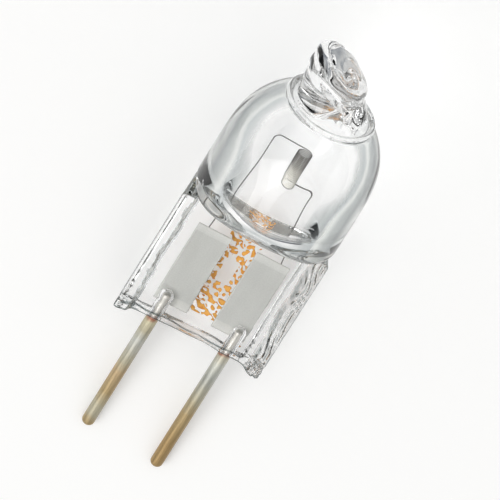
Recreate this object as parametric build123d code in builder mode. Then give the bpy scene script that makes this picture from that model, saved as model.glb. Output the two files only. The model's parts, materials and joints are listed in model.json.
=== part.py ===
from build123d import *
import os
from math import asin, cos, degrees, pi, radians, sin, sqrt, tan

os.makedirs("parts", exist_ok=True)

# Halogen capsule lamp with two pins, in millimetres.
# It is modelled upright: +Z runs up the bulb's axis from the foot of its press, +X across
# the press and -Y out of the press's front face. At the end it is laid down as it rests.

# Bulb
bulb_diameter = 7.96
bulb_wall = 1.22
barrel_length = 2.2
cavity_shift = 0.15

# Press, the flat squeezed foot of the bulb
press_width = 8.15
press_shift = 0.1
side_draft = 0.4
web_thickness = 1.8
rib_thickness = 2.6
rib_width = 0.5
rib_slope = 0.4
rib_rounding = 0.3
rib_end_rounding = 0.15
foot_rise = 0.12

# Heights, each counted from the one before it
foil_foot = 1.0
foil_length = 5.1
seal_above_foil = 1.9
floor_wall = 0.55
rib_above_jaw = 0.35
squeeze_length = 2.35

# Jaw print: the squeezed faces end on a shallow arc over the press
jaw_arc_radius = 11.0

# Cavity floor, a slot where the tube was squeezed shut; its ends stay this far inside the cavity
floor_inset = 0.31
floor_depth = 1.0

# Exhaust tip, melted off and left leaning
root_radius = 2.28
knob_radius = 1.7
knob_half_thickness = 0.8
knob_rounding = 0.7
knob_offset = -0.6
knob_lean = 28.0
knob_above_dome = 1.32
neck_radius = 1.6
channel_radius = 0.55
channel_tip_radius = 0.12
channel_length = 0.9

# Pins
pin_spacing = 4.0
pin_diameter = 0.66
pin_embed = 1.65
left_pin_reach = 7.5
right_pin_reach = 7.85
bore_clearance = 0.03
bore_dome_gap = 0.3
pin_tip_flat = 0.05

# Foils
foil_width = 1.87
foil_gap = 1.32
foil_thickness = 0.04

# Filament, one wire
wire_diameter = 0.056
coil_diameter = 0.75
coil_turns = 21
coil_pitch = 0.09
coil_above_floor = 2.55
coil_offset = 0.03
leg_inset = 0.5
leg_weld = 0.5
left_shoulder = 1.61
right_shoulder = 1.52
shoulder_bend = 0.35

# Marking, orange flecks on the back of the press
fleck_length = 0.34
fleck_width = 0.13
fleck_thickness = 0.015
fleck_columns = 5
fleck_rows = 15
fleck_pitch_across = 0.36
fleck_pitch_up = 0.42
fleck_foot = 0.95
fleck_turn = 67.0
fleck_shift = 0.05
blank_half_width = 0.4
blank_foot = 3.2
blank_height = 1.6
stray_fleck_offset = -2.4
stray_fleck_height = 0.35

# Angles in degrees, and how finely the lean is worked out, in radians
quarter_turn = 90.0
lean_fineness = 1e-9

# Sizes that follow from those above
bulb_radius = bulb_diameter / 2
cavity_radius = bulb_radius - bulb_wall
foil_top = foil_foot + foil_length
cavity_floor = foil_top + seal_above_foil
jaw_top = cavity_floor - floor_wall
rib_top = jaw_top + rib_above_jaw
round_start = jaw_top + squeeze_length
dome_centre = round_start + barrel_length
dome_top = dome_centre + bulb_radius
cavity_top = dome_centre + cavity_radius
knob_height = dome_top + knob_above_dome
root_height = dome_centre + sqrt(bulb_radius**2 - root_radius**2)
half_floor_length = cavity_radius - floor_inset
half_web = web_thickness / 2
half_rib = rib_thickness / 2
half_press = press_width / 2
rib_foot = half_press - rib_width - rib_slope
half_arch = rib_foot - side_draft
pin_radius = pin_diameter / 2
pin_plane = -pin_radius
bore_radius = pin_radius + bore_clearance
bore_top = pin_embed + bore_dome_gap - bore_radius
foil_centre = (foil_gap + foil_width) / 2
foil_middle = foil_foot + foil_length / 2
wire_radius = wire_diameter / 2
wire_plane = foil_thickness + wire_radius
coil_radius = coil_diameter / 2 - wire_radius
coil_foot = cavity_floor + coil_above_floor
coil_top = coil_foot + coil_turns * coil_pitch
run_slope = coil_pitch / (2 * pi * coil_radius)
leg_foot = foil_top - leg_weld
leg_reach = foil_gap / 2 + foil_width - leg_inset
cutter_reach = 2 * bulb_diameter


# Bulb: a round tube with a domed end, squeezed from both faces at its lower end
with BuildPart() as squeezed_bulb:
    with BuildSketch(Plane.XZ):
        with BuildLine():
            Polyline((0, dome_top), (0, jaw_top), (bulb_radius, jaw_top), (bulb_radius, dome_centre))
            RadiusArc((bulb_radius, dome_centre), (0, dome_top), -bulb_radius)
        make_face()
    revolve(axis=Axis.Z)
    with BuildSketch(Plane.YZ):
        with BuildLine():
            EllipticalCenterArc(
                (half_web, round_start),
                bulb_radius - half_web,
                squeeze_length,
                start_angle=-quarter_turn,
                arc_size=quarter_turn,
            )
            Polyline(
                (bulb_radius, round_start),
                (cutter_reach, round_start),
                (cutter_reach, 0),
                (half_web, 0),
                (half_web, jaw_top),
            )
        make_face()
        mirror(about=Plane.YZ)
    revolve(axis=Axis((0, 0, jaw_top + jaw_arc_radius), (0, 1, 0)), mode=Mode.SUBTRACT)

# Press: a thin web between two thicker side ribs, a little narrower at its back, with its
# foot drawn up in the middle; it sits a little to the left of the bulb's axis
with BuildPart() as press:
    with BuildSketch(Plane(origin=(-press_shift, 0, 0), z_dir=(0, 0, 1))):
        with BuildLine():
            Polyline(
                (0, -half_web),
                (rib_foot, -half_web),
                (rib_foot + rib_slope, -half_rib),
                (half_press, -half_rib),
                (half_press - side_draft, half_rib),
                (rib_foot - side_draft + rib_slope, half_rib),
                (rib_foot - side_draft, half_web),
                (0, half_web),
            )
            mirror(about=Plane.YZ)
        make_face()
    extrude(amount=rib_top)
    rib_corners = press.edges().filter_by(Axis.Z).filter_by(
        lambda edge: abs(edge.center().Y) > half_web + (half_rib - half_web) / 2
        and abs(edge.center().X + press_shift) > half_press - side_draft - rib_width / 2
    )
    fillet(rib_corners, rib_rounding)
    fillet(press.faces().sort_by(Axis.Z)[-1].edges(), rib_end_rounding)
    with BuildSketch(Plane.XZ):
        with BuildLine():
            ThreePointArc((-half_arch, 0), (0, foot_rise), (half_arch, 0))
            Line((half_arch, 0), (-half_arch, 0))
        make_face()
    extrude(amount=rib_thickness, both=True, mode=Mode.SUBTRACT)

# Exhaust tip: a melted neck on the dome, leaning, with a flattened knob on its end
knob_place = Plane(
    origin=(knob_offset, 0, knob_height),
    x_dir=(cos(radians(knob_lean)), 0, -sin(radians(knob_lean))),
    z_dir=(sin(radians(knob_lean)), 0, cos(radians(knob_lean))),
)
with BuildPart() as tip:
    with BuildSketch(knob_place):
        Circle(knob_radius)
    extrude(amount=knob_half_thickness, both=True)
    fillet(tip.edges(), knob_rounding)
    with BuildSketch(Plane.XY.offset(root_height)):
        Circle(root_radius)
    with BuildSketch(knob_place):
        Circle(neck_radius)
    loft()

# Cavity: the space inside the bulb, a little off centre, closing to a slot at its floor
# and running up into the sealed end of the exhaust channel
with BuildPart() as cavity:
    with BuildSketch(Plane.XZ):
        with BuildLine():
            shoulder_height = dome_centre + sqrt(cavity_radius**2 - channel_radius**2)
            Polyline(
                (channel_radius, shoulder_height),
                (channel_tip_radius, cavity_top + channel_length),
                (0, cavity_top + channel_length),
                (0, cavity_floor),
                (cavity_radius, cavity_floor),
                (cavity_radius, dome_centre),
            )
            RadiusArc((cavity_radius, dome_centre), (channel_radius, shoulder_height), -cavity_radius)
        make_face()
    revolve(axis=Axis.Z)
    for plane, half_floor in ((Plane.YZ, floor_depth / 2), (Plane.XZ, half_floor_length)):
        with BuildSketch(plane):
            with BuildLine():
                EllipticalCenterArc(
                    (half_floor, round_start),
                    cavity_radius - half_floor,
                    round_start - cavity_floor,
                    start_angle=-quarter_turn,
                    arc_size=quarter_turn,
                )
                Polyline(
                    (cavity_radius, round_start),
                    (cutter_reach, round_start),
                    (cutter_reach, cavity_floor),
                    (half_floor, cavity_floor),
                )
            make_face()
            mirror(about=Plane.YZ)
        extrude(amount=cutter_reach, both=True, mode=Mode.SUBTRACT)

# Foils: thin strips at the press's mid-plane, their fronts level with the middle of the web
with BuildPart() as left_foil:
    with BuildSketch(Plane.XZ):
        with Locations((-foil_centre, foil_middle)):
            Rectangle(foil_width, foil_length)
    extrude(amount=-foil_thickness)

with BuildPart() as right_foil:
    with BuildSketch(Plane.XZ):
        with Locations((foil_centre, foil_middle)):
            Rectangle(foil_width, foil_length)
    extrude(amount=-foil_thickness)

# Pins: round rods on the front of the foils, flat inside the press and rounded at the free end
with BuildPart() as left_pin:
    with BuildSketch(Plane.XY.offset(pin_embed)):
        with Locations((-pin_spacing / 2, pin_plane)):
            Circle(pin_radius)
    extrude(amount=-(pin_embed + left_pin_reach))
    fillet(left_pin.faces().sort_by(Axis.Z)[0].edges(), pin_radius - pin_tip_flat)

with BuildPart() as right_pin:
    with BuildSketch(Plane.XY.offset(pin_embed)):
        with Locations((pin_spacing / 2, pin_plane)):
            Circle(pin_radius)
    extrude(amount=-(pin_embed + right_pin_reach))
    fillet(right_pin.faces().sort_by(Axis.Z)[0].edges(), pin_radius - pin_tip_flat)

# Filament: one wire that runs up from the back of the left foil, over to the coil, down its
# turns and across to the right foil; both runs meet the coil's back edge in line with its turns
coil_plane = wire_plane - coil_radius
left_rise = (coil_offset + left_shoulder) * run_slope
right_fall = (right_shoulder - coil_offset) * run_slope
with BuildPart() as filament:
    with BuildLine() as wire_path:
        FilletPolyline(
            (-leg_reach, wire_plane, leg_foot),
            (-left_shoulder, wire_plane, coil_top + left_rise),
            (coil_offset, wire_plane, coil_top),
            radius=shoulder_bend,
        )
        turns = Helix(
            pitch=coil_pitch,
            height=coil_turns * coil_pitch,
            radius=coil_radius,
            mode=Mode.PRIVATE,
        )
        add(turns.rotate(Axis.Z, quarter_turn).moved(Location((coil_offset, coil_plane, coil_foot))))
        FilletPolyline(
            (coil_offset, wire_plane, coil_foot),
            (right_shoulder, wire_plane, coil_foot - right_fall),
            (leg_reach, wire_plane, leg_foot),
            radius=shoulder_bend,
        )
    with BuildSketch(Plane(origin=wire_path.wire() @ 0, z_dir=wire_path.wire() % 0)):
        Circle(wire_radius)
    sweep(path=wire_path.wire())

# Envelope: bulb, press and tip as one piece of glass, with the cavity, the pin bores with
# their domed ends, and seats for the foils and the filament's feet
with BuildPart() as glass_envelope:
    add(squeezed_bulb.part)
    add(press.part)
    add(tip.part)
    with Locations((cavity_shift, 0, 0)):
        add(cavity.part, mode=Mode.SUBTRACT)
    with BuildSketch(Plane.XY.offset(bore_top)):
        with Locations((-pin_spacing / 2, pin_plane), (pin_spacing / 2, pin_plane)):
            Circle(bore_radius)
    extrude(amount=-(bore_top + foil_foot), mode=Mode.SUBTRACT)
    with Locations((-pin_spacing / 2, pin_plane, bore_top), (pin_spacing / 2, pin_plane, bore_top)):
        Sphere(bore_radius, mode=Mode.SUBTRACT)
    add(left_foil.part, mode=Mode.SUBTRACT)
    add(right_foil.part, mode=Mode.SUBTRACT)
    wire = wire_path.wire()
    left_seat = Plane(origin=wire @ 0, z_dir=wire % 0)
    right_seat = Plane(origin=wire @ 1, z_dir=-(wire % 1))
    with BuildSketch(left_seat, right_seat):
        Circle(wire_radius)
    extrude(amount=coil_foot - leg_foot, mode=Mode.SUBTRACT)

# Marking: a loose field of short orange flecks on the back of the web, in no lettering,
# with a bare patch low in its middle
back_plane = Plane(origin=(0, half_web, 0), x_dir=(-1, 0, 0), z_dir=(0, 1, 0))
with BuildPart() as marking:
    with BuildSketch(back_plane):
        for row in range(fleck_rows):
            for column in range(fleck_columns):
                turn = (row * fleck_columns + column) * fleck_turn
                across = (column - (fleck_columns - 1) / 2) * fleck_pitch_across
                up = fleck_foot + row * fleck_pitch_up
                bare = abs(across) < blank_half_width and 0 < up - blank_foot < blank_height
                if not bare:
                    across += fleck_shift * sin(turn)
                    up += fleck_shift * cos(turn)
                    with Locations((across, up)):
                        SlotOverall(fleck_length, fleck_width, rotation=turn)
        with Locations((stray_fleck_offset, stray_fleck_height)):
            SlotOverall(fleck_length, fleck_width, rotation=fleck_turn)
    extrude(amount=fleck_thickness)

# Rest: the lamp lies on its back, on both pin tips and the lower edge of the bulb. The lean
# is where tips and bulb reach equally far down, found by halving, and the roll levels the
# two pins, which are not of one length.
def depth_gap(lean):
    """How much further down the pin tips reach than the bulb, at a lean in radians."""
    reach = (left_pin_reach + right_pin_reach) / 2 - pin_radius
    tip_depth = pin_plane * cos(lean) + reach * sin(lean) + pin_radius
    squeeze_depth = (bulb_radius - half_web) * cos(lean)
    bulb_depth = half_web * cos(lean) - round_start * sin(lean)
    bulb_depth += sqrt(squeeze_depth**2 + (squeeze_length * sin(lean)) ** 2)
    return tip_depth - bulb_depth


low_lean = 0.0
high_lean = pi / 4
while high_lean - low_lean > lean_fineness:
    middle_lean = (low_lean + high_lean) / 2
    if depth_gap(middle_lean) > 0:
        high_lean = middle_lean
    else:
        low_lean = middle_lean
lean = middle_lean
roll = -degrees(asin((right_pin_reach - left_pin_reach) * tan(lean) / pin_spacing))

laid = Plane(origin=(0, 0, 0), x_dir=(0, -1, 0), z_dir=(cos(lean), 0, sin(lean)))
turned = laid.location * Location((0, 0, 0), (0, 0, roll))
pieces = (glass_envelope, left_pin, right_pin, left_foil, right_foil, filament, marking)
box = Compound(children=[piece.part.moved(turned) for piece in pieces]).bounding_box()
rest = Location((-box.center().X, -box.center().Y, -box.min.Z)) * turned
for piece in pieces:
    piece.part.move(rest)

glass_envelope.part.label = "glass_envelope"
left_pin.part.label = "left_pin"
right_pin.part.label = "right_pin"
left_foil.part.label = "left_foil"
right_foil.part.label = "right_foil"
filament.part.label = "filament"
marking.part.label = "marking"
export_step(glass_envelope.part, "parts/glass_envelope.step")
export_step(left_pin.part, "parts/left_pin.step")
export_step(right_pin.part, "parts/right_pin.step")
export_step(left_foil.part, "parts/left_foil.step")
export_step(right_foil.part, "parts/right_foil.step")
export_step(filament.part, "parts/filament.step")
export_step(marking.part, "parts/marking.step")
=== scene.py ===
import json
from math import cos, pi, radians, sin, sqrt

import bpy
import numpy as np
from mathutils import Matrix, Vector


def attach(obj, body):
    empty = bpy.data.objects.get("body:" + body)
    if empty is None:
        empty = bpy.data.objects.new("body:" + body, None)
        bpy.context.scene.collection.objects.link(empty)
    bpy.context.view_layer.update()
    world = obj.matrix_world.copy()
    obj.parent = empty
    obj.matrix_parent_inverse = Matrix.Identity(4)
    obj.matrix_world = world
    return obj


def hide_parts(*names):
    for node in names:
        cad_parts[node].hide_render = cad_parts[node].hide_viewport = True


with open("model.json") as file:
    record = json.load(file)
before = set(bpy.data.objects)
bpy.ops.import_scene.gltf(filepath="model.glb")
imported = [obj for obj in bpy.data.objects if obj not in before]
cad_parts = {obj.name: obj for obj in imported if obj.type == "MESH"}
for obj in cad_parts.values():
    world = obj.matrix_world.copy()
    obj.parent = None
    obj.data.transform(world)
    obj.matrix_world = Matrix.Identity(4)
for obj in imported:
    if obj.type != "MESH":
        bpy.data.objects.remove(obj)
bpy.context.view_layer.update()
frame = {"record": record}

# Lengths are millimetres in the lamp's own upright frame, as in the part's source: +X across
# the press, -Y out of its front face, +Z up the bulb's axis from the press's foot.
MM = 0.001

# Sizes that repeat the part's source
BULB_RADIUS = 3.98
BULB_WALL = 1.22
CAVITY_RADIUS = BULB_RADIUS - BULB_WALL
CAVITY_SHIFT = 0.15
HALF_PRESS = 4.075
PRESS_SHIFT = 0.1
SIDE_DRAFT = 0.4
HALF_WEB = 0.9
HALF_RIB = 1.3
RIB_FOOT = 3.175
RIB_SLOPE = 0.4
FOOT_RISE = 0.12
FOIL_FOOT = 1.0
FOIL_TOP = 6.1
CAVITY_FLOOR = 8.0
JAW_TOP = 7.45
RIB_TOP = 7.8
ROUND_START = 9.8
DOME_CENTRE = 12.0
JAW_ARC_RADIUS = 11.0
FLOOR_INSET = 0.31
FLOOR_HALF_LENGTH = CAVITY_RADIUS - FLOOR_INSET
FLOOR_HALF_DEPTH = 0.5
ROOT_RADIUS = 2.28
ROOT_HEIGHT = DOME_CENTRE + sqrt(BULB_RADIUS**2 - ROOT_RADIUS**2)
KNOB_RADIUS = 1.7
KNOB_HALF_THICKNESS = 0.8
KNOB_CENTRE = (-0.6, 0.0, 17.3)
KNOB_LEAN = radians(28)
NECK_RADIUS = 1.6
CHANNEL_RADIUS = 0.55
CHANNEL_TIP_RADIUS = 0.12
CHANNEL_LENGTH = 0.9
PIN_SPACING = 4.0
PIN_RADIUS = 0.33
PIN_PLANE = -PIN_RADIUS
PIN_EMBED = 1.65
LEFT_PIN_REACH = 7.5
RIGHT_PIN_REACH = 7.85
PIN_TIP_FLAT = 0.05
BORE_CLEARANCE = 0.03
BORE_DOME_GAP = 0.3
BORE_RADIUS = PIN_RADIUS + BORE_CLEARANCE
BORE_TOP = PIN_EMBED + BORE_DOME_GAP - BORE_RADIUS
FOIL_WIDTH = 1.87
FOIL_GAP = 1.32
FOIL_THICKNESS = 0.04
WIRE_RADIUS = 0.028
WIRE_PLANE = FOIL_THICKNESS + WIRE_RADIUS
COIL_DIAMETER = 0.75
COIL_RADIUS = COIL_DIAMETER / 2 - WIRE_RADIUS
COIL_TURNS = 21
COIL_PITCH = 0.09
COIL_ABOVE_FLOOR = 2.55
COIL_FOOT = CAVITY_FLOOR + COIL_ABOVE_FLOOR
COIL_TOP = COIL_FOOT + COIL_TURNS * COIL_PITCH
COIL_OFFSET = 0.03
LEG_INSET = 0.5
LEG_WELD = 0.5
LEG_REACH = FOIL_GAP / 2 + FOIL_WIDTH - LEG_INSET
LEG_FOOT = FOIL_TOP - LEG_WELD
LEFT_SHOULDER = 1.61
RIGHT_SHOULDER = 1.52
SHOULDER_BEND = 0.35
FLECK_THICKNESS = 0.015


def lamp_frame():
    """The matrix from the lamp's own frame, in metres, to the row's, read from the pins' mounts."""
    mounts = {mount["name"]: mount for mount in frame["record"]["mounts"]}
    left, right = mounts["left_pin_end"], mounts["right_pin_end"]
    up = -Vector(left["axis"]).normalized()
    across = Vector(right["pos_m"]) - Vector(left["pos_m"])
    across = (across - across.dot(up) * up).normalized()
    back = up.cross(across)
    middle = -left["dims"]["length_mm"] / 2
    offset = across * -PIN_SPACING / 2 + back * PIN_PLANE + up * middle
    place = Matrix((across, back, up)).transposed().to_4x4()
    place.translation = Vector(left["pos_m"]) - offset * MM
    return place


PLACE = lamp_frame()

# Camera, from the photograph: its tilt off the press's normal, its turn about the lamp's
# axis and the photograph's roll, with the pixel where the press's foot meets the axis.
IMAGE_PIXELS = 500
PIXELS_PER_MM = 20.4
VIEW_TILT = radians(33)
VIEW_TURN = radians(9)
VIEW_ROLL = radians(32.3)
AXIS_FOOT_PIXEL = (190.6, 330.4)
CAMERA_DISTANCE = 0.6
SENSOR_MM = 36.0


def add_camera():
    """A long lens from the photograph's direction, framed as the photograph is."""
    toward = Vector((-sin(VIEW_TURN) * cos(VIEW_TILT), -cos(VIEW_TURN) * cos(VIEW_TILT), sin(VIEW_TILT)))
    right = Vector((cos(VIEW_TURN), -sin(VIEW_TURN), 0))
    up = toward.cross(right)
    rolled_right = cos(VIEW_ROLL) * right + sin(VIEW_ROLL) * up
    rolled_up = cos(VIEW_ROLL) * up - sin(VIEW_ROLL) * right
    across = (IMAGE_PIXELS / 2 - AXIS_FOOT_PIXEL[0]) / PIXELS_PER_MM * MM
    rise = (AXIS_FOOT_PIXEL[1] - IMAGE_PIXELS / 2) / PIXELS_PER_MM * MM
    target = rolled_right * across + rolled_up * rise
    basis = Matrix((rolled_right, rolled_up, toward)).transposed().to_4x4()
    basis.translation = target + toward * CAMERA_DISTANCE
    camera_data = bpy.data.cameras.new("camera")
    camera_data.sensor_width = SENSOR_MM
    camera_data.lens = SENSOR_MM * CAMERA_DISTANCE / (IMAGE_PIXELS / PIXELS_PER_MM * MM)
    camera_data.clip_start = CAMERA_DISTANCE / 10
    camera_data.clip_end = CAMERA_DISTANCE * 20
    camera = bpy.data.objects.new("camera", camera_data)
    camera.matrix_world = PLACE @ basis
    bpy.context.collection.objects.link(camera)
    bpy.context.scene.camera = camera


# Fields: each is negative inside a form and about its distance from the surface outside it.

def smooth_min(first, second, radius):
    """The union of two fields with a fillet of about this radius."""
    share = np.clip(0.5 + 0.5 * (second - first) / radius, 0, 1)
    return second + (first - second) * share - radius * share * (1 - share)


def smooth_max(first, second, radius):
    """The common part of two fields with an edge rounded by about this radius."""
    return -smooth_min(-first, -second, radius)


def smooth_step(value):
    """0 below 0, 1 above 1 and a smooth rise between."""
    value = np.clip(value, 0, 1)
    return value * value * (3 - 2 * value)


def near_ellipsoid(parts, radii):
    """About the distance from an ellipsoid's surface, for offsets from its centre."""
    scaled = np.sqrt(sum((part / radius) ** 2 for part, radius in zip(parts, radii)))
    steep = np.sqrt(sum((part / radius**2) ** 2 for part, radius in zip(parts, radii)))
    return scaled * (scaled - 1) / np.maximum(steep, 1e-6)


def make_ripple(seed, shortest, longest, count):
    """A smooth pattern from -1 to 1: sine waves in seeded directions, added up."""
    random = np.random.default_rng(seed)
    directions = random.normal(size=(count, 3))
    directions /= np.linalg.norm(directions, axis=1)[:, None]
    waves = directions * (2 * pi / random.uniform(shortest, longest, count))[:, None]
    phases = random.uniform(0, 2 * pi, count)

    def ripple(x, y, z):
        total = 0
        for wave, phase in zip(waves, phases):
            total = total + np.sin(wave[0] * x + wave[1] * y + wave[2] * z + phase)
        return np.clip(total / sqrt(2 * count), -1, 1)

    return ripple


def soft_ramp(value, softness):
    """The value above 0 and nothing below it, with a soft bend between."""
    return 0.5 * (value + np.sqrt(value**2 + softness**2))


def bump_at(value, width):
    """A smooth hump of height 1 and about this half width, centred on 0."""
    return np.exp(-((value / width) ** 2))


def on_front(y):
    """1 over the lamp's front, fading to 0 just behind its middle."""
    return smooth_step(0.5 - y)


draw_ripple = make_ripple(3, 2.2, 6.0, 7)
fold_ripple = make_ripple(4, 1.6, 4.0, 7)
press_ripple = make_ripple(5, 1.4, 3.4, 7)
scratch_ripple = make_ripple(8, 0.3, 0.8, 9)
crumple_ripple = make_ripple(9, 0.5, 1.1, 9)
melt_ripple = make_ripple(13, 1.2, 2.6, 7)
chip_ripple = make_ripple(17, 0.6, 1.1, 8)

# The bulb: how softly its dome and its squeeze begin, and the folds above the jaw line
DOME_SOFTNESS = 1.1
SQUEEZE_SOFTNESS = 0.7
SQUEEZE_ROUNDING = 0.3
FOLD_DEPTH = 0.04
FOLD_PITCH = 0.4
FOLD_MIDDLE = 0.42
FOLD_SPREAD = 0.34
FOLD_WANDER = 0.12
FOLD_HALF_LENGTH = 3.5
FOLD_FADE = 0.9


def bulb_field(x, y, z):
    """The round tube with its domed end, squeezed from both faces at its lower end."""
    dome = soft_ramp(z - DOME_CENTRE, DOME_SOFTNESS)
    tube = np.sqrt(x**2 + y**2 + dome**2) - BULB_RADIUS
    lifted = z - (JAW_ARC_RADIUS - np.sqrt(np.maximum(JAW_ARC_RADIUS**2 - x**2, 0)))
    depth = np.maximum(np.abs(y) - HALF_WEB, 0)
    drop = soft_ramp(ROUND_START - lifted, SQUEEZE_SOFTNESS)
    squeeze = near_ellipsoid((depth, drop), (BULB_RADIUS - HALF_WEB, ROUND_START - JAW_TOP))
    reach = np.hypot(depth, lifted - JAW_TOP) + FOLD_WANDER * fold_ripple(x, y, z)
    folds = np.sin(2 * pi * reach / FOLD_PITCH) * bump_at(reach - FOLD_MIDDLE, FOLD_SPREAD)
    folds = folds * on_front(y) * smooth_step((FOLD_HALF_LENGTH - np.abs(x)) / FOLD_FADE)
    return smooth_max(tube, squeeze, SQUEEZE_ROUNDING) + FOLD_DEPTH * (1 + folds)


# The press's edges are drawn in a little from the source's, so that no ripple passes them
EDGE_INSET = 0.025
EDGE_ROUNDING = 0.15
TOP_ROUNDING = 0.2

# The press's slopes: wavy and scratched in front, and hollow but for the grooved right rib
SHARP_SLOPE = 0.22
BACK_WAVER = 0.03
FRONT_WAVER = 0.07
LEFT_SCRATCH = 0.05
RIGHT_SCRATCH = 0.02
HOLLOW_DEPTH = 0.1
HOLLOW_OFFSET = 0.2
HOLLOW_WIDTH = 0.4
GROOVE_DEPTH = 0.14
GROOVE_PITCH = 0.24
GROOVE_WANDER = 0.25
GROOVE_OFFSET = 0.5
GROOVE_WIDTH = 0.26

# The press's foot: its drawn line, the seam above it and the crumpled corners
FOOT_WAVER = 0.06
CORNER_ROUNDING = 0.09
MIDDLE_ROUNDING = 0.14
SEAM_HEIGHT = 0.45
SEAM_WANDER = 0.14
SEAM_WIDTH = 0.1
SEAM_DEPTH = 0.05
CRUMPLE_START = 2.6
CRUMPLE_TOP = 1.3
CRUMPLE_DEPTH = 0.045


def press_field(x, y, z):
    """The thin web between its two ribs, with the foot drawn up in the middle."""
    front = on_front(y)
    side = np.abs(x + PRESS_SHIFT) + SIDE_DRAFT * (y + HALF_RIB) / (2 * HALF_RIB)
    on_right = smooth_step(x + 0.5)
    waver = (BACK_WAVER + FRONT_WAVER * front) * press_ripple(0.2 * x, 0.3 * y, z)
    scratch_depth = LEFT_SCRATCH + (RIGHT_SCRATCH - LEFT_SCRATCH) * on_right
    scratch = scratch_depth * front * scratch_ripple(x, 0.3 * y, 0.7 * z)
    slope_width = SHARP_SLOPE + (RIB_SLOPE - SHARP_SLOPE) * np.maximum(on_right, 1 - front)
    rise = smooth_step((side - RIB_FOOT + waver + scratch) / slope_width)
    grooved = on_right * front
    grooves = 1 + np.sin(2 * pi * (side + GROOVE_WANDER * press_ripple(0, 1, z)) / GROOVE_PITCH)
    rise = rise - HOLLOW_DEPTH * (1 - grooved) * bump_at(side - RIB_FOOT - HOLLOW_OFFSET, HOLLOW_WIDTH)
    rise = rise - GROOVE_DEPTH * grooved * grooves * bump_at(side - RIB_FOOT - GROOVE_OFFSET, GROOVE_WIDTH)
    faces = np.abs(y) - (HALF_WEB + (HALF_RIB - HALF_WEB) * rise)
    section = smooth_max(faces, side - HALF_PRESS + EDGE_INSET, EDGE_ROUNDING)
    section = smooth_max(section, z - RIB_TOP, TOP_ROUNDING)
    middle = smooth_step((RIB_FOOT + 0.4 - side) / 0.8)
    foot_line = FOOT_RISE * (1 - (x / RIB_FOOT) ** 2).clip(0, 1)
    foot_line = foot_line + FOOT_WAVER * middle * (1 + fold_ripple(2.2 * x, y, 0))
    section = smooth_max(section, foot_line - z, CORNER_ROUNDING + MIDDLE_ROUNDING * middle)
    seam = bump_at(z - SEAM_HEIGHT - SEAM_WANDER * fold_ripple(2 * x, 7, 0), SEAM_WIDTH)
    seam = seam * smooth_step((RIB_FOOT - side) / 0.5)
    corner = smooth_step((side - CRUMPLE_START) / 0.8) * smooth_step((CRUMPLE_TOP - z) / 0.9)
    crumple = CRUMPLE_DEPTH * corner * np.abs(crumple_ripple(x, y, z))
    return section + SEAM_DEPTH * front * seam + crumple


# The neck and its right-hand notch
NECK_FOOT_RADIUS = 1.88
NECK_DEPTH = 0.6
NECK_ROUNDING = 0.3
NOTCH_HEIGHT = 16.5
NOTCH_WIDTH = 0.35
NOTCH_DEPTH = 0.14

# The knob's crease and swirl, and the crevice under it
CREASE_RADIUS = 1.25
CREASE_WIDTH = 0.12
CREASE_DEPTH = 0.14
SWIRL_CENTRE = (0.35, -0.75)
SWIRL_SPREAD = 0.75
SWIRL_TWIST = 9
SWIRL_DEPTH = 0.06
CREVICE_CENTRE = (-0.45, -1.5, 16.75)
CREVICE_RADII = (0.95, 0.6, 0.16)
CREVICE_ROUNDING = 0.04
MELT_DEPTH = 0.03

# The fillet between neck and knob on the right, and what the left has on top of it
KNOB_FILLET = 0.25
LEFT_FILLET_GAIN = 0.3

# The chipped patch beside the knob, with its scoops, and the bead round the neck's root
CHIP_PATCH = (1.15, -1.15, 16.0)
CHIP_DEPTH = 0.3
CHIP_SPREAD = 0.5
SCOOP_COUNT = 9
SCOOP_SCATTER = 0.55
SCOOP_SHIFT = (0.15, -0.15, 0)
SCOOP_RADII = (0.25, 0.5)
BEAD_RADIUS = 0.13
BEAD_SINK = (0.02, 0.03)
BEAD_FILLET = 0.12


def scatter_scoops():
    """Seeded centres and radii of the chips' scoops."""
    random = np.random.default_rng(31)
    scoops = []
    for _ in range(SCOOP_COUNT):
        spot = np.array(CHIP_PATCH) + random.uniform(-SCOOP_SCATTER, SCOOP_SCATTER, 3) + SCOOP_SHIFT
        scoops.append((spot, random.uniform(*SCOOP_RADII)))
    return scoops


SCOOPS = scatter_scoops()


def along_knob(x, z, centre):
    """Offsets from a centre along and square to the leaning knob's disc."""
    across = (x - centre[0]) * cos(KNOB_LEAN) - (z - centre[2]) * sin(KNOB_LEAN)
    over = (x - centre[0]) * sin(KNOB_LEAN) + (z - centre[2]) * cos(KNOB_LEAN)
    return across, over


def neck_field(x, y, z):
    """The melted neck, leaning towards the knob, with a notch on its right."""
    height = np.clip((z - ROOT_HEIGHT) / (KNOB_CENTRE[2] - ROOT_HEIGHT), -0.4, 1)
    waist = NECK_FOOT_RADIUS + (NECK_RADIUS - NECK_FOOT_RADIUS) * height
    waist = waist - NOTCH_DEPTH * bump_at(z - NOTCH_HEIGHT, NOTCH_WIDTH) * smooth_step(x)
    neck = np.sqrt((x - KNOB_CENTRE[0] * height) ** 2 + y**2) - waist
    neck = smooth_max(neck, z - KNOB_CENTRE[2], NECK_ROUNDING)
    return smooth_max(neck, ROOT_HEIGHT - NECK_DEPTH - z, NECK_ROUNDING)


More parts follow.
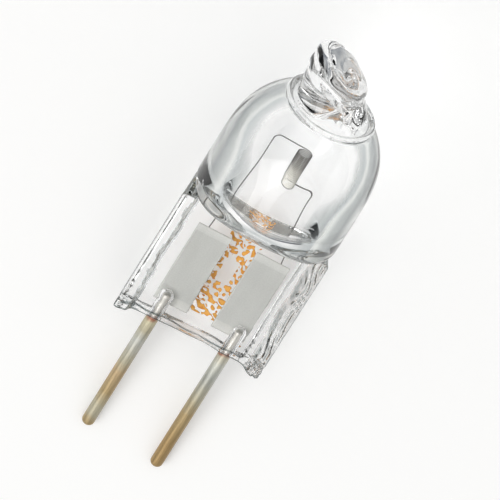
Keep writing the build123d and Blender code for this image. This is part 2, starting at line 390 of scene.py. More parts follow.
def knob_field(x, y, z):
    """The slanted knob, with a crease round its upper face and a swirl in it."""
    across, over = along_knob(x, z, KNOB_CENTRE)
    knob = near_ellipsoid((across, y, over), (KNOB_RADIUS, KNOB_RADIUS, KNOB_HALF_THICKNESS))
    upper = smooth_step(over / 0.3)
    crease = bump_at(np.hypot(across, y) - CREASE_RADIUS, CREASE_WIDTH)
    crease = crease * upper * smooth_step((0.9 - across - 0.4 * y) / 0.8)
    turn = np.arctan2(y - SWIRL_CENTRE[1], across - SWIRL_CENTRE[0])
    spread = np.hypot(across - SWIRL_CENTRE[0], y - SWIRL_CENTRE[1])
    swirl = np.sin(turn + SWIRL_TWIST * spread) * bump_at(spread, SWIRL_SPREAD) * upper
    return knob + CREASE_DEPTH * crease + SWIRL_DEPTH * swirl


def tip_field(x, y, z):
    """The neck and the knob, run together, with the crevice, the chips and the root's bead."""
    fillet = KNOB_FILLET + LEFT_FILLET_GAIN * smooth_step(-x)
    tip = smooth_min(neck_field(x, y, z), knob_field(x, y, z), fillet)
    tip = tip + MELT_DEPTH * (1 + melt_ripple(x, y, z))
    across, over = along_knob(x, z, CREVICE_CENTRE)
    crevice = near_ellipsoid((across, y - CREVICE_CENTRE[1], over), CREVICE_RADII)
    tip = smooth_max(tip, -crevice, CREVICE_ROUNDING)
    away = sum((value - spot) ** 2 for value, spot in zip((x, y, z), CHIP_PATCH))
    tip = tip + CHIP_DEPTH * np.abs(chip_ripple(x, y, z)) * np.exp(-away / CHIP_SPREAD)
    for spot, radius in SCOOPS:
        scoop = np.sqrt((x - spot[0]) ** 2 + (y - spot[1]) ** 2 + (z - spot[2]) ** 2) - radius
        tip = np.maximum(tip, -scoop)
    bead = np.hypot(np.hypot(x, y) - ROOT_RADIUS + BEAD_SINK[0], z - ROOT_HEIGHT + BEAD_SINK[1])
    return smooth_min(tip, bead - BEAD_RADIUS, BEAD_FILLET)


# How far above the bulb's squeeze the cavity begins to close, how much it has closed at its
# floor, as a share under a square root, and how far its top channel reaches down into it
CLOSING_LEAD = 0.4
CLOSED_SHARE = 0.995
CHANNEL_OVERLAP = 0.6
CHANNEL_ROUNDING = 0.1
CHANNEL_FILLET = 0.25
FLOOR_ROUNDING = 0.12


def cavity_field(x, y, z):
    """The space inside the bulb, closing to a lens at its floor and a channel at its top."""
    x = x - CAVITY_SHIFT
    dome = soft_ramp(z - DOME_CENTRE, DOME_SOFTNESS)
    closing_top = ROUND_START + CLOSING_LEAD
    share = np.clip((closing_top - z) / (closing_top - CAVITY_FLOOR), 0, 1)
    open_share = np.sqrt(1 - CLOSED_SHARE * share**3)
    half_length = FLOOR_HALF_LENGTH + (CAVITY_RADIUS - FLOOR_HALF_LENGTH) * open_share
    half_depth = FLOOR_HALF_DEPTH + (CAVITY_RADIUS - FLOOR_HALF_DEPTH) * open_share
    space = near_ellipsoid((x, y, dome), (half_length, half_depth, CAVITY_RADIUS))
    space = smooth_max(space, CAVITY_FLOOR - z, FLOOR_ROUNDING)
    top = DOME_CENTRE + CAVITY_RADIUS
    height = np.clip((z - top) / CHANNEL_LENGTH, -1, 1)
    channel = np.hypot(x, y) - (CHANNEL_RADIUS + (CHANNEL_TIP_RADIUS - CHANNEL_RADIUS) * height)
    channel = smooth_max(channel, z - top - CHANNEL_LENGTH, CHANNEL_ROUNDING)
    channel = smooth_max(channel, top - CHANNEL_OVERLAP - z, CHANNEL_ROUNDING)
    return smooth_min(space, channel, CHANNEL_FILLET)


BORE_UNEVENNESS = 0.02
DRAW_DEPTH = 0.01
JOIN_FILLET = 0.15
CAVITY_ROUNDING = 0.06
BORE_ROUNDING = 0.05


def bore_field(x, y, z):
    """The two pin bores with their domed ends and slightly uneven walls."""
    reach = np.sqrt((np.abs(x) - PIN_SPACING / 2) ** 2 + (y - PIN_PLANE) ** 2
                    + np.maximum(z - BORE_TOP, 0) ** 2)
    return reach - BORE_RADIUS - BORE_UNEVENNESS * crumple_ripple(x, y, z)


def glass_field(x, y, z):
    """The whole envelope."""
    outer = smooth_min(bulb_field(x, y, z), press_field(x, y, z), JOIN_FILLET)
    outer = outer + DRAW_DEPTH * (1 + draw_ripple(x, y, 0.4 * z))
    outer = smooth_min(outer, tip_field(x, y, z), JOIN_FILLET)
    hollow = smooth_max(outer, -cavity_field(x, y, z), CAVITY_ROUNDING)
    return smooth_max(hollow, -bore_field(x, y, z), BORE_ROUNDING)


# How far to each side a field is read for its slope, the least that a squared slope counts as
# when points are moved onto the surface, and the largest move as a share of a grid cell
SLOPE_REACH = 0.01
LEAST_SQUARED_SLOPE = 0.05
LARGEST_MOVE = 0.4


def slopes(field, points):
    """The field's gradient at each point, by central differences."""
    gradient = np.empty_like(points)
    for axis in range(3):
        shift = np.zeros(3)
        shift[axis] = SLOPE_REACH
        ahead = field(*(points + shift).T)
        behind = field(*(points - shift).T)
        gradient[:, axis] = (ahead - behind) / (2 * SLOPE_REACH)
    return gradient


def surface_net(field, low, high, step):
    """The zero surface of a field as points and quads: one point a grid cell that it crosses."""
    steps = np.broadcast_to(step, 3)
    counts = [int(round((high[axis] - low[axis]) / steps[axis])) + 1 for axis in range(3)]
    lines = [low[axis] + steps[axis] * np.arange(counts[axis]) for axis in range(3)]
    values = np.empty(counts)
    for index, x in enumerate(lines[0]):
        values[index] = field(x, lines[1][:, None], lines[2][None, :])
    hits = np.zeros(values.size)
    sums = np.zeros((values.size, 3))
    quads = []
    for axis in range(3):
        ends = np.moveaxis(values, axis, 0)
        crossing = np.moveaxis((ends[:-1] < 0) != (ends[1:] < 0), 0, axis)
        start = np.argwhere(crossing)
        finish = start.copy()
        finish[:, axis] += 1
        first = values[tuple(start.T)]
        second = values[tuple(finish.T)]
        spot = np.array(low) + steps * start
        spot[:, axis] += steps[axis] * first / (first - second)
        ring = []
        for along_next, along_last in ((0, 0), (-1, 0), (-1, -1), (0, -1)):
            cell = start.copy()
            cell[:, (axis + 1) % 3] += along_next
            cell[:, (axis + 2) % 3] += along_last
            flat = np.ravel_multi_index(tuple(cell.T), counts)
            hits += np.bincount(flat, minlength=hits.size)
            for part in range(3):
                sums[:, part] += np.bincount(flat, weights=spot[:, part], minlength=hits.size)
            ring.append(flat)
        ring = np.stack(ring, axis=1)
        ring[first > 0] = ring[first > 0][:, ::-1]
        quads.append(ring)
    used = np.flatnonzero(hits)
    number = np.full(hits.size, -1)
    number[used] = np.arange(used.size)
    points = sums[used] / hits[used][:, None]
    for _ in range(3):
        gradient = slopes(field, points)
        steep = np.maximum((gradient**2).sum(axis=1), LEAST_SQUARED_SLOPE)
        move = -(field(*points.T) / steep)[:, None] * gradient
        points = points + np.clip(move, -LARGEST_MOVE * steps, LARGEST_MOVE * steps)
    return points, number[np.concatenate(quads)]


def add_piece(name, points, faces, material, node, normals=None):
    """A mesh in the lamp's frame, placed in the row, that rides on the part and replaces its node."""
    mesh = bpy.data.meshes.new(name)
    matrix = np.array(PLACE)
    placed = np.asarray(points) * MM @ matrix[:3, :3].T + matrix[:3, 3]
    mesh.from_pydata(placed.tolist(), [], [list(map(int, face)) for face in faces])
    mesh.polygons.foreach_set("use_smooth", [True] * len(mesh.polygons))
    mesh.update()
    if normals is not None:
        turned = np.asarray(normals) @ matrix[:3, :3].T
        mesh.normals_split_custom_set_from_vertices(turned.tolist())
    mesh.materials.append(material)
    piece = bpy.data.objects.new(name, mesh)
    bpy.context.collection.objects.link(piece)
    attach(piece, "root")
    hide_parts(node)
    return piece


def ring_faces(base, sides):
    """The quads between one ring of points, which starts at base, and the ring after it."""
    faces = []
    for side in range(sides):
        after = (side + 1) % sides
        faces.append((base + side, base + after, base + sides + after, base + sides + side))
    return faces


def lathe(profile, sides):
    """Points and faces of a solid turned about Z, from its foot's middle to its top's middle."""
    points = [(0, 0, profile[0][1])]
    for radius, height in profile[1:-1]:
        for side in range(sides):
            angle = 2 * pi * side / sides
            points.append((radius * cos(angle), radius * sin(angle), height))
    points.append((0, 0, profile[-1][1]))
    faces = [(0, 1 + (side + 1) % sides, 1 + side) for side in range(sides)]
    rings = len(profile) - 2
    for ring in range(rings - 1):
        faces += ring_faces(1 + ring * sides, sides)
    base = 1 + (rings - 1) * sides
    last = len(points) - 1
    faces += [(base + side, base + (side + 1) % sides, last) for side in range(sides)]
    return np.array(points), faces


def tube_along(path, radius, sides):
    """Points and faces of a wire swept along a path, with flat ends."""
    path = np.array(path)
    heads = np.gradient(path, axis=0)
    heads /= np.linalg.norm(heads, axis=1)[:, None]
    side = np.cross(heads[0], (0, 1, 0))
    points = []
    for spot, head in zip(path, heads):
        side = side - head * side.dot(head)
        side /= np.linalg.norm(side)
        other = np.cross(head, side)
        for number in range(sides):
            angle = 2 * pi * number / sides
            points.append(spot + radius * (cos(angle) * side + sin(angle) * other))
    faces = [tuple(range(sides))[::-1]]
    for ring in range(len(path) - 1):
        faces += ring_faces(ring * sides, sides)
    faces.append(tuple(range((len(path) - 1) * sides, len(path) * sides)))
    return np.array(points), faces


def rounded_path(corners, radius, spacing):
    """Points along straight runs joined by round bends."""
    corners = [np.array(corner, dtype=float) for corner in corners]
    path = [corners[0]]
    for before, corner, after in zip(corners, corners[1:], corners[2:]):
        back = (before - corner) / np.linalg.norm(before - corner)
        ahead = (after - corner) / np.linalg.norm(after - corner)
        half = np.arccos(np.clip(back.dot(ahead), -1, 1)) / 2
        reach = radius / np.tan(half)
        middle = corner + (back + ahead) / np.linalg.norm(back + ahead) * radius / np.sin(half)
        first = corner + back * reach - middle
        second = corner + ahead * reach - middle
        steps = max(3, int((pi - 2 * half) * radius / spacing))
        for step in range(steps + 1):
            share = step / steps
            spoke = first * (1 - share) + second * share
            path.append(middle + spoke / np.linalg.norm(spoke) * radius)
    path.append(corners[-1])
    return path


# Materials. Each helper adds nodes to a material's tree and gives back a socket.

def new_material(name):
    """A material, its node tree and its Principled shader."""
    material = bpy.data.materials.new(name)
    material.use_nodes = True
    tree = material.node_tree
    return material, tree, tree.nodes["Principled BSDF"]


def lamp_coordinates(tree):
    """The lamp's own coordinates, in millimetres, at each point of a surface."""
    place = tree.nodes.new("ShaderNodeTexCoord")
    mapping = tree.nodes.new("ShaderNodeMapping")
    mapping.vector_type = "TEXTURE"
    mapping.inputs["Location"].default_value = PLACE.translation
    mapping.inputs["Rotation"].default_value = PLACE.to_euler()
    mapping.inputs["Scale"].default_value = (MM, MM, MM)
    tree.links.new(place.outputs["Object"], mapping.inputs["Vector"])
    return mapping.outputs["Vector"]


def split_parts(tree, coordinates):
    """The X, Y and Z parts of coordinates."""
    split = tree.nodes.new("ShaderNodeSeparateXYZ")
    tree.links.new(coordinates, split.inputs[0])
    return split.outputs["X"], split.outputs["Y"], split.outputs["Z"]


def add_noise(tree, coordinates, stretch, scale, detail):
    """Noise in stretched lamp coordinates, from 0 to 1."""
    mapping = tree.nodes.new("ShaderNodeMapping")
    mapping.inputs["Scale"].default_value = stretch
    noise = tree.nodes.new("ShaderNodeTexNoise")
    noise.inputs["Scale"].default_value = scale
    noise.inputs["Detail"].default_value = detail
    tree.links.new(coordinates, mapping.inputs["Vector"])
    tree.links.new(mapping.outputs["Vector"], noise.inputs["Vector"])
    return noise.outputs["Fac"]


def add_math(tree, operation, first, second=0.0):
    """One sum; each operand is a socket or a number."""
    node = tree.nodes.new("ShaderNodeMath")
    node.operation = operation
    for socket, operand in zip(node.inputs, (first, second)):
        if isinstance(operand, (int, float)):
            socket.default_value = operand
        else:
            tree.links.new(operand, socket)
    return node.outputs[0]


def map_range(tree, value, low, high, to_low=0.0, to_high=1.0):
    """A value's place between low and high, spread from to_low to to_high."""
    spread = tree.nodes.new("ShaderNodeMapRange")
    spread.inputs["From Min"].default_value = low
    spread.inputs["From Max"].default_value = high
    spread.inputs["To Min"].default_value = to_low
    spread.inputs["To Max"].default_value = to_high
    tree.links.new(value, spread.inputs["Value"])
    return spread.outputs["Result"]


def add_ramp(tree, value, stops):
    """Colours along a value from 0 to 1: each stop is its place and its colour."""
    ramp = tree.nodes.new("ShaderNodeValToRGB")
    elements = ramp.color_ramp.elements
    while len(elements) < len(stops):
        elements.new(0.5)
    for element, (place, colour) in zip(elements, stops):
        element.position = place
        element.color = (*colour, 1)
    tree.links.new(value, ramp.inputs["Fac"])
    return ramp.outputs["Color"]


def add_bands(tree, value, low, high, bands):
    """Colours along a value: each band is its place between low and high and its colour."""
    stops = [((place - low) / (high - low), colour) for place, colour in bands]
    return add_ramp(tree, map_range(tree, value, low, high), stops)


def shade_by(tree, colour, value, low, high):
    """A colour times a factor from low to high that follows the middle of a 0 to 1 value."""
    scale = tree.nodes.new("ShaderNodeVectorMath")
    scale.operation = "SCALE"
    tree.links.new(colour, scale.inputs[0])
    tree.links.new(map_range(tree, value, 0.3, 0.7, low, high), scale.inputs["Scale"])
    return scale.outputs["Vector"]


def mix_colours(tree, share, plain, colour):
    """A plain colour at share 0 and another colour's socket at share 1."""
    mix = tree.nodes.new("ShaderNodeMix")
    mix.data_type = "RGBA"
    plain_socket, colour_socket = [socket for socket in mix.inputs if socket.type == "RGBA"]
    plain_socket.default_value = (*plain, 1)
    tree.links.new(share, mix.inputs["Factor"])
    tree.links.new(colour, colour_socket)
    return next(socket for socket in mix.outputs if socket.type == "RGBA")


def add_bump(tree, shader, height, strength, distance):
    """Small relief from a 0 to 1 height; the distance is in millimetres."""
    bump = tree.nodes.new("ShaderNodeBump")
    bump.inputs["Strength"].default_value = strength
    bump.inputs["Distance"].default_value = distance * MM
    tree.links.new(height, bump.inputs["Height"])
    tree.links.new(bump.outputs["Normal"], shader.inputs["Normal"])


# Painted shade in the quartz's colour, over Layer Weight's Facing: from clear to edge on, grey bands
# that stand for the dark surroundings seen in the thick wall. The painted shade is deeper on the right, and
# deepest at the foot.
WALL_SHADE_BANDS = ((0.235, (1, 1, 1)), (0.27, (0.68, 0.70, 0.70)), (0.325, (0.44, 0.475, 0.475)),
              (0.37, (0.38, 0.42, 0.43)), (0.415, (0.72, 0.75, 0.72)), (0.475, (0.36, 0.39, 0.385)),
              (0.6, (0.20, 0.22, 0.225)), (0.72, (0.58, 0.60, 0.58)), (0.95, (0.36, 0.375, 0.37)))
BAND_LEAN = -0.0125
BAND_WANDER = 0.1

# Where the painted shade bands come in: out from the bulb's axis and the dome's centre, up the tip, down to
# the foot and to the right, each from where its share is 0 to where it is 1
OUTSIDE_ZONE = (2.9, 3.3)
TIP_ZONE = (14.9, 15.6)
FOOT_ZONE = (0.75, 0.5)
RIGHT_ZONE = (1.0, 4.0)
TIP_SHARE = 0.22
RIGHT_SHADE_DEEPENING = 0.5
FOOT_SHADE_DEEPENING = 2.0
QUARTZ_IOR = 1.458


def painted_shade_share(tree, across, depth, height, foot):
    """Where the painted shade goes: 1 on the wall's outside and round the foot, less on the tip and 0 on the
    cavity's side.
    """
    above = add_math(tree, "MAXIMUM", add_math(tree, "SUBTRACT", height, DOME_CENTRE))
    spoke = tree.nodes.new("ShaderNodeCombineXYZ")
    for socket, part in zip(spoke.inputs, (across, depth, above)):
        tree.links.new(part, socket)
    span = tree.nodes.new("ShaderNodeVectorMath")
    span.operation = "LENGTH"
    tree.links.new(spoke.outputs[0], span.inputs[0])
    outside = map_range(tree, span.outputs["Value"], *OUTSIDE_ZONE)
    on_tip = map_range(tree, height, *TIP_ZONE)
    outside = add_math(tree, "MULTIPLY", outside, add_math(tree, "SUBTRACT", 1.0, on_tip))
    outside = add_math(tree, "ADD", outside, add_math(tree, "MULTIPLY", on_tip, TIP_SHARE))
    return add_math(tree, "MAXIMUM", outside, foot)


def quartz_material():
    """Clear quartz glass, with painted shade greying its colour where the outside of the thick wall is seen
    edge on.
    """
    material, tree, shader = new_material("quartz")
    coordinates = lamp_coordinates(tree)
    across, depth, height = split_parts(tree, coordinates)
    edge = tree.nodes.new("ShaderNodeLayerWeight")
    edge.inputs["Blend"].default_value = 0.5
    streaks = add_noise(tree, coordinates, stretch=(1, 1, 0.12), scale=1.1, detail=3)
    lean = add_math(tree, "MULTIPLY", across, BAND_LEAN)
    drift = add_math(tree, "ADD", lean, add_math(tree, "MULTIPLY", streaks, BAND_WANDER))
    drift = add_math(tree, "SUBTRACT", drift, BAND_WANDER / 2)
    edge_on = add_math(tree, "ADD", edge.outputs["Facing"], drift)
    # Painted shade: made deeper on the right and deepest at the foot
    foot = map_range(tree, height, *FOOT_ZONE)
    on_right = map_range(tree, across, *RIGHT_ZONE)
    power = add_math(tree, "ADD", 1.0, add_math(tree, "MULTIPLY", on_right, RIGHT_SHADE_DEEPENING))
    power = add_math(tree, "ADD", power, add_math(tree, "MULTIPLY", foot, FOOT_SHADE_DEEPENING))
    # The grey wall bands are painted shade in the glass's base colour
    deepen_shade = tree.nodes.new("ShaderNodeGamma")
    tree.links.new(add_bands(tree, edge_on, 0.2, 1.0, WALL_SHADE_BANDS), deepen_shade.inputs["Color"])
    tree.links.new(power, deepen_shade.inputs["Gamma"])
    outside = painted_shade_share(tree, across, depth, height, foot)
    colour = mix_colours(tree, outside, (1, 1, 1), deepen_shade.outputs["Color"])
    tree.links.new(colour, shader.inputs["Base Color"])
    shader.inputs["Roughness"].default_value = 0.0
    shader.inputs["IOR"].default_value = QUARTZ_IOR
    shader.inputs["Transmission Weight"].default_value = 1.0
    return material


# The pins' tarnish, up from their free ends, with a red ring where they enter the glass
RED, GREY, SILVER = (0.36, 0.13, 0.08), (0.60, 0.58, 0.54), (0.57, 0.57, 0.52)
TAN, OLIVE = (0.51, 0.38, 0.22), (0.48, 0.44, 0.32)
BROWN, RUST = (0.44, 0.33, 0.17), (0.40, 0.27, 0.12)
IN_THE_GLASS = ((0.05, RED), (0.25, GREY), (1.9, GREY))
LEFT_BANDS = ((-8.4, BROWN), (-7.3, BROWN), (-6.6, OLIVE), (-6.0, OLIVE), (-5.2, BROWN), (-3.7, TAN),
              (-3.0, OLIVE), (-1.6, SILVER), (-0.8, OLIVE), (-0.25, (0.58, 0.53, 0.37)), *IN_THE_GLASS)
RIGHT_BANDS = ((-8.4, RUST), (-6.3, RUST), (-4.2, BROWN), (-3.1, OLIVE), (-1.6, (0.48, 0.49, 0.45)),
               (-0.7, (0.60, 0.60, 0.53)), (-0.2, (0.57, 0.53, 0.42)), *IN_THE_GLASS)
TARNISH_LOW, TARNISH_HIGH = -8.5, 2.0
TARNISH_WANDER = 0.9


def pin_material(name, bands):
    """Molybdenum, tarnished in bands along the pin, with drawing streaks."""
    material, tree, shader = new_material(name)
    coordinates = lamp_coordinates(tree)
    _, _, height = split_parts(tree, coordinates)
    blotch = add_noise(tree, coordinates, stretch=(1, 1, 1), scale=1.6, detail=3)
    shifted = add_math(tree, "ADD", height, add_math(tree, "MULTIPLY", blotch, TARNISH_WANDER))
    shifted = add_math(tree, "SUBTRACT", shifted, TARNISH_WANDER / 2)
    colour = add_bands(tree, shifted, TARNISH_LOW, TARNISH_HIGH, bands)
    streaks = add_noise(tree, coordinates, stretch=(9, 9, 0.5), scale=1.5, detail=4)
    colour = shade_by(tree, colour, streaks, low=0.78, high=1.18)
    roughness = map_range(tree, streaks, 0, 1, to_low=0.32, to_high=0.6)
    tree.links.new(colour, shader.inputs["Base Color"])
    tree.links.new(roughness, shader.inputs["Roughness"])
    shader.inputs["Metallic"].default_value = 0.6
    add_bump(tree, shader, streaks, strength=0.35, distance=0.02)
    return material


def foil_material():
    """Matt etched foil, paler along its two ends."""
    material, tree, shader = new_material("foil_metal")
    coordinates = lamp_coordinates(tree)
    _, _, height = split_parts(tree, coordinates)
    plain, pale = (0.55, 0.555, 0.53), (0.68, 0.68, 0.65)
    bands = ((FOIL_FOOT, pale), (1.5, (0.62, 0.62, 0.59)), (1.55, plain), (5.62, plain),
             (5.68, (0.62, 0.625, 0.60)), (FOIL_TOP, pale))
    colour = add_bands(tree, height, FOIL_FOOT - 0.1, FOIL_TOP + 0.1, bands)
    mottle = add_noise(tree, coordinates, stretch=(1, 1, 1), scale=14.0, detail=5)
    colour = shade_by(tree, colour, mottle, low=0.93, high=1.05)
    wash = add_noise(tree, coordinates, stretch=(0.8, 1, 0.25), scale=1.4, detail=2)
    colour = shade_by(tree, colour, wash, low=0.95, high=1.04)
    tree.links.new(colour, shader.inputs["Base Color"])
    shader.inputs["Metallic"].default_value = 0.35
    shader.inputs["Roughness"].default_value = 0.55
    add_bump(tree, shader, mottle, strength=0.3, distance=0.01)
    return material


def filament_material():
    """Drawn tungsten: dark legs, and a coil with painted light and shade: paler below as painted light,
    darker towards its top and round its sides as painted shade.
    """
    material, tree, shader = new_material("filament_metal")
    across, _, height = split_parts(tree, lamp_coordinates(tree))
    dark, pale = (0.11, 0.105, 0.10), (0.80, 0.79, 0.72)
    # Painted light and shade up the coil: pale below, darker towards its top
    bands = ((COIL_FOOT + 0.03, dark), (COIL_FOOT + 0.1, pale), (COIL_FOOT + 0.9, (0.60, 0.585, 0.53)),
             (COIL_FOOT + 1.2, (0.28, 0.27, 0.25)), (COIL_TOP, (0.18, 0.175, 0.16)))
    colour = add_bands(tree, height, COIL_FOOT - 0.1, COIL_TOP + 0.1, bands)
    off_axis = add_math(tree, "ABSOLUTE", add_math(tree, "SUBTRACT", across, COIL_OFFSET))
    # Painted shade: the coil darkened round its sides
    colour = shade_by(tree, colour, map_range(tree, off_axis, 0.28, 0.37), low=1.0, high=0.4)
    on_coil = add_math(tree, "LESS_THAN", off_axis, COIL_RADIUS + 2 * WIRE_RADIUS)
    tree.links.new(mix_colours(tree, on_coil, dark, colour), shader.inputs["Base Color"])
    shader.inputs["Metallic"].default_value = 0.3
    shader.inputs["Roughness"].default_value = 0.55
    return material


def ink_material():
    """Orange fired print, uneven in strength."""
    material, tree, shader = new_material("orange_ink")
    patches = add_noise(tree, lamp_coordinates(tree), stretch=(1, 1, 1), scale=3.5, detail=4)
    bands = ((0.3, (0.80, 0.27, 0.025)), (0.5, (0.94, 0.42, 0.04)), (0.7, (0.96, 0.52, 0.11)))
    tree.links.new(add_bands(tree, patches, 0.2, 0.8, bands), shader.inputs["Base Color"])
    shader.inputs["Roughness"].default_value = 0.6
    return material


# Pieces

# The corners of the grids that the fields are read on, and the grids' cell sizes
GLASS_GRID = (-4.4, -4.2, -0.2), (4.4, 4.2, 18.9), 0.1
MARKING_GRID = (-1.0, HALF_WEB - 0.055, 0.2), (2.7, HALF_WEB + 0.035, 7.1), (0.035, 0.01, 0.035)


def add_glass():
    """The envelope, from its field. It casts no shadow, because clear glass leaves hardly any."""
    points, quads = surface_net(glass_field, *GLASS_GRID)
    normals = slopes(glass_field, points)
    normals /= np.linalg.norm(normals, axis=1)[:, None]
    quartz = quartz_material()
    glass = add_piece("clear_envelope", points, quads, quartz, "glass_envelope", normals)
    glass.visible_shadow = False


# A pin is this much smaller than its solid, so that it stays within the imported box
PIN_SHYNESS = 0.003
PIN_SIDES = 32
PIN_TIP_STEPS = 8
PIN_RINGS = 50
PIN_CHAMFER = 0.03


def add_pin(name, node, side, reach, material):
    """A round rod with a rounded free end and a flat inner end."""
    radius = PIN_RADIUS - PIN_SHYNESS
    reach -= PIN_SHYNESS
    rounding = radius - PIN_TIP_FLAT
    profile = [(0, -reach), (PIN_TIP_FLAT, -reach)]
    for step in range(1, PIN_TIP_STEPS + 1):
        angle = pi / 2 * step / PIN_TIP_STEPS
        profile.append((PIN_TIP_FLAT + rounding * sin(angle), -reach + rounding * (1 - cos(angle))))
    for height in np.linspace(-reach + 2 * rounding, PIN_EMBED - PIN_CHAMFER, PIN_RINGS):
        profile.append((radius, height))
    profile += [(radius - PIN_CHAMFER, PIN_EMBED), (0, PIN_EMBED)]
    points, faces = lathe(profile, PIN_SIDES)
    points += np.array((side * PIN_SPACING / 2, PIN_PLANE, 0))
    add_piece(name, points, faces, material, node)


FOIL_COLUMNS = 24
FOIL_ROWS = 60
FOIL_RAGGEDNESS = 0.035


def add_foil(name, node, side, material):
    """A thin strip with one slightly ragged long edge."""
    centre = side * (FOIL_GAP + FOIL_WIDTH) / 2
    points, faces = [], []
    for depth in (0, FOIL_THICKNESS):
        for row in range(FOIL_ROWS + 1):
            for column in range(FOIL_COLUMNS + 1):
                x = centre + FOIL_WIDTH * (column / FOIL_COLUMNS - 0.5)
                z = FOIL_FOOT + (FOIL_TOP - FOIL_FOOT) * row / FOIL_ROWS
                if column == FOIL_COLUMNS:
                    x -= FOIL_RAGGEDNESS * (1 + scratch_ripple(side, 0, z))
                points.append((x, depth, z))
    layer = (FOIL_ROWS + 1) * (FOIL_COLUMNS + 1)

    def at(row, column):
        return row * (FOIL_COLUMNS + 1) + column

    for row in range(FOIL_ROWS):
        for column in range(FOIL_COLUMNS):
            square = [at(row, column), at(row, column + 1), at(row + 1, column + 1), at(row + 1, column)]
            faces.append(square)
            faces.append([corner + layer for corner in reversed(square)])
    rim = [at(0, column) for column in range(FOIL_COLUMNS)]
    rim += [at(row, FOIL_COLUMNS) for row in range(FOIL_ROWS)]
    rim += [at(FOIL_ROWS, column) for column in range(FOIL_COLUMNS, 0, -1)]
    rim += [at(row, 0) for row in range(FOIL_ROWS, 0, -1)]
    for here, after in zip(rim, rim[1:] + rim[:1]):
        faces.append((after, here, here + layer, after + layer))
    add_piece(name, np.array(points), faces, material, node)


BEND_SPACING = 0.05
STEPS_PER_TURN = 20
WIRE_SIDES = 8


def add_filament(material):
    """One wire: left leg, coil and right leg."""
    slope = COIL_PITCH / (2 * pi * COIL_RADIUS)
    left_rise = (COIL_OFFSET + LEFT_SHOULDER) * slope
    right_fall = (RIGHT_SHOULDER - COIL_OFFSET) * slope
    path = rounded_path((
        (-LEG_REACH, WIRE_PLANE, LEG_FOOT),
        (-LEFT_SHOULDER, WIRE_PLANE, COIL_TOP + left_rise),
        (COIL_OFFSET, WIRE_PLANE, COIL_TOP),
    ), SHOULDER_BEND, BEND_SPACING)
    steps = STEPS_PER_TURN * COIL_TURNS
    for step in range(1, steps):
        angle = pi / 2 - 2 * pi * COIL_TURNS * step / steps
        path.append((
            COIL_OFFSET + COIL_RADIUS * cos(angle),
            WIRE_PLANE - COIL_RADIUS + COIL_RADIUS * sin(angle),
            COIL_TOP - COIL_TURNS * COIL_PITCH * step / steps,
        ))
    path += rounded_path((
        (COIL_OFFSET, WIRE_PLANE, COIL_FOOT),
        (RIGHT_SHOULDER, WIRE_PLANE, COIL_FOOT - right_fall),
        (LEG_REACH, WIRE_PLANE, LEG_FOOT),
    ), SHOULDER_BEND, BEND_SPACING)
    points, faces = tube_along(path, WIRE_RADIUS, WIRE_SIDES)
    add_piece("coiled_wire", points, faces, material, "filament")


fleck_ripple = make_ripple(22, 0.2, 0.44, 18)
crack_ripple = make_ripple(24, 0.45, 0.8, 8)

# The print, as half sizes across and up the web about middles on it
STRIP_HALF_SIZE = (0.88, 2.98)
STRIP_HEIGHT = 3.96
BARE_HALF_SIZE = (0.36, 0.75)
BARE_HEIGHT = 3.95
STRAY_MIDDLE = (2.4, 0.35)
STRAY_HALF_SIZE = (0.17, 0.06)
INK_SHARE = 0.08
FLECK_REACH = 0.09
FLECK_ROUNDING = 0.02
CRACK_WIDTH = 0.025
CRACK_REACH = 0.12
BARE_ROUNDING = 0.1
INK_SINK = 0.01
INK_ROUNDING = 0.006


def marking_field(x, y, z):
    """Ragged flecks in a tall strip, with a bare patch in the middle and one stray fleck."""
    strip = np.maximum(np.abs(x) - STRIP_HALF_SIZE[0], np.abs(z - STRIP_HEIGHT) - STRIP_HALF_SIZE[1])
    bare_width, bare_rise = np.abs(x) - BARE_HALF_SIZE[0], np.abs(z - BARE_HEIGHT) - BARE_HALF_SIZE[1]
    bare = smooth_max(bare_width, bare_rise, BARE_ROUNDING)
    inked = -FLECK_REACH * (fleck_ripple(x, 0, z) + INK_SHARE)
    flecks = smooth_max(inked, strip, FLECK_ROUNDING)
    flecks = smooth_max(flecks, -bare, FLECK_ROUNDING)
    flecks = np.maximum(flecks, CRACK_WIDTH - CRACK_REACH * np.abs(crack_ripple(x, 0, z)))
    stray = near_ellipsoid((x - STRAY_MIDDLE[0], z - STRAY_MIDDLE[1]), STRAY_HALF_SIZE)
    middle = HALF_WEB - INK_SINK
    layer = np.abs(y - middle) - (HALF_WEB + FLECK_THICKNESS - middle)
    return smooth_max(np.minimum(flecks, stray), layer, INK_ROUNDING)


def add_marking(material):
    """The orange flecks on the back of the web."""
    points, quads = surface_net(marking_field, *MARKING_GRID)
    add_piece("orange_flecks", points, quads, material, "marking")


# Surroundings, in metres
FLOOR_REACH = 3.0
FLOOR_COLOUR = (0.9, 0.9, 0.9, 1)
FLOOR_GLOW = 0.14
SKY = ((0.0, (0.14, 0.15, 0.165)), (0.12, (0.24, 0.26, 0.285)), (0.4, (0.58, 0.585, 0.58)),
       (1.0, (0.70, 0.69, 0.67)))


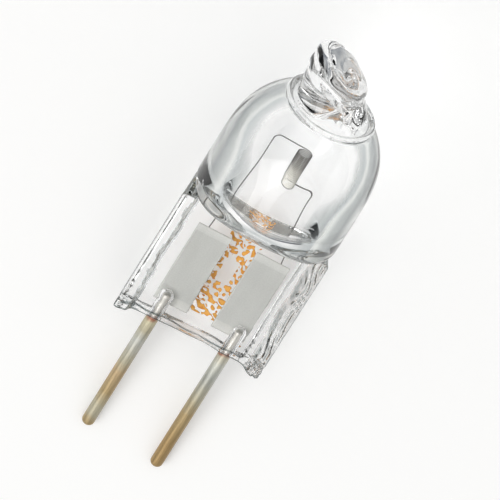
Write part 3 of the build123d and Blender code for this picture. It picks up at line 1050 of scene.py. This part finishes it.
def add_floor():
    """A wide pale floor that glows a little where it is seen, so that it renders near white."""
    corners = [(x * FLOOR_REACH, y * FLOOR_REACH, 0) for x, y in ((-1, -1), (1, -1), (1, 1), (-1, 1))]
    mesh = bpy.data.meshes.new("floor")
    mesh.from_pydata(corners, [], [(0, 1, 2, 3)])
    material, tree, shader = new_material("floor")
    shader.inputs["Base Color"].default_value = FLOOR_COLOUR
    shader.inputs["Roughness"].default_value = 1.0
    shader.inputs["Specular IOR Level"].default_value = 0.0
    shader.inputs["Emission Color"].default_value = (1, 1, 1, 1)
    rays = tree.nodes.new("ShaderNodeLightPath").outputs
    seen = add_math(tree, "MAXIMUM", rays["Is Camera Ray"], rays["Is Glossy Ray"])
    seen = add_math(tree, "MAXIMUM", seen, rays["Is Transmission Ray"])
    tree.links.new(add_math(tree, "MULTIPLY", seen, FLOOR_GLOW), shader.inputs["Emission Strength"])
    mesh.materials.append(material)
    floor = bpy.data.objects.new("floor", mesh)
    bpy.context.collection.objects.link(floor)


def add_world():
    """Soft studio surroundings: pale overhead, greyer towards the horizon."""
    world = bpy.data.worlds.new("world")
    world.use_nodes = True
    tree = world.node_tree
    place = tree.nodes.new("ShaderNodeTexCoord")
    _, _, height = split_parts(tree, place.outputs["Generated"])
    tree.links.new(add_ramp(tree, height, SKY), tree.nodes["Background"].inputs["Color"])
    bpy.context.scene.world = world


def add_lamp(name, toward, distance, size, power):
    """A square soft lamp aimed at the part."""
    lamp_data = bpy.data.lights.new(name, "AREA")
    lamp_data.size = size
    lamp_data.energy = power
    lamp = bpy.data.objects.new(name, lamp_data)
    direction = Vector(toward).normalized()
    lamp.location = direction * distance
    lamp.rotation_euler = direction.to_track_quat("Z", "Y").to_euler()
    bpy.context.collection.objects.link(lamp)


add_camera()
add_glass()
add_pin("tarnished_left_pin", "left_pin", -1, LEFT_PIN_REACH, pin_material("left_pin_metal", LEFT_BANDS))
add_pin("tarnished_right_pin", "right_pin", 1, RIGHT_PIN_REACH, pin_material("right_pin_metal", RIGHT_BANDS))
foil_metal = foil_material()
add_foil("left_foil_strip", "left_foil", -1, foil_metal)
add_foil("right_foil_strip", "right_foil", 1, foil_metal)
add_filament(filament_material())
add_marking(ink_material())
add_floor()
add_world()
add_lamp("key", toward=(-0.5, 0.6, 1.0), distance=0.7, size=0.5, power=2.25)

bpy.context.scene.view_settings.view_transform = "Standard"
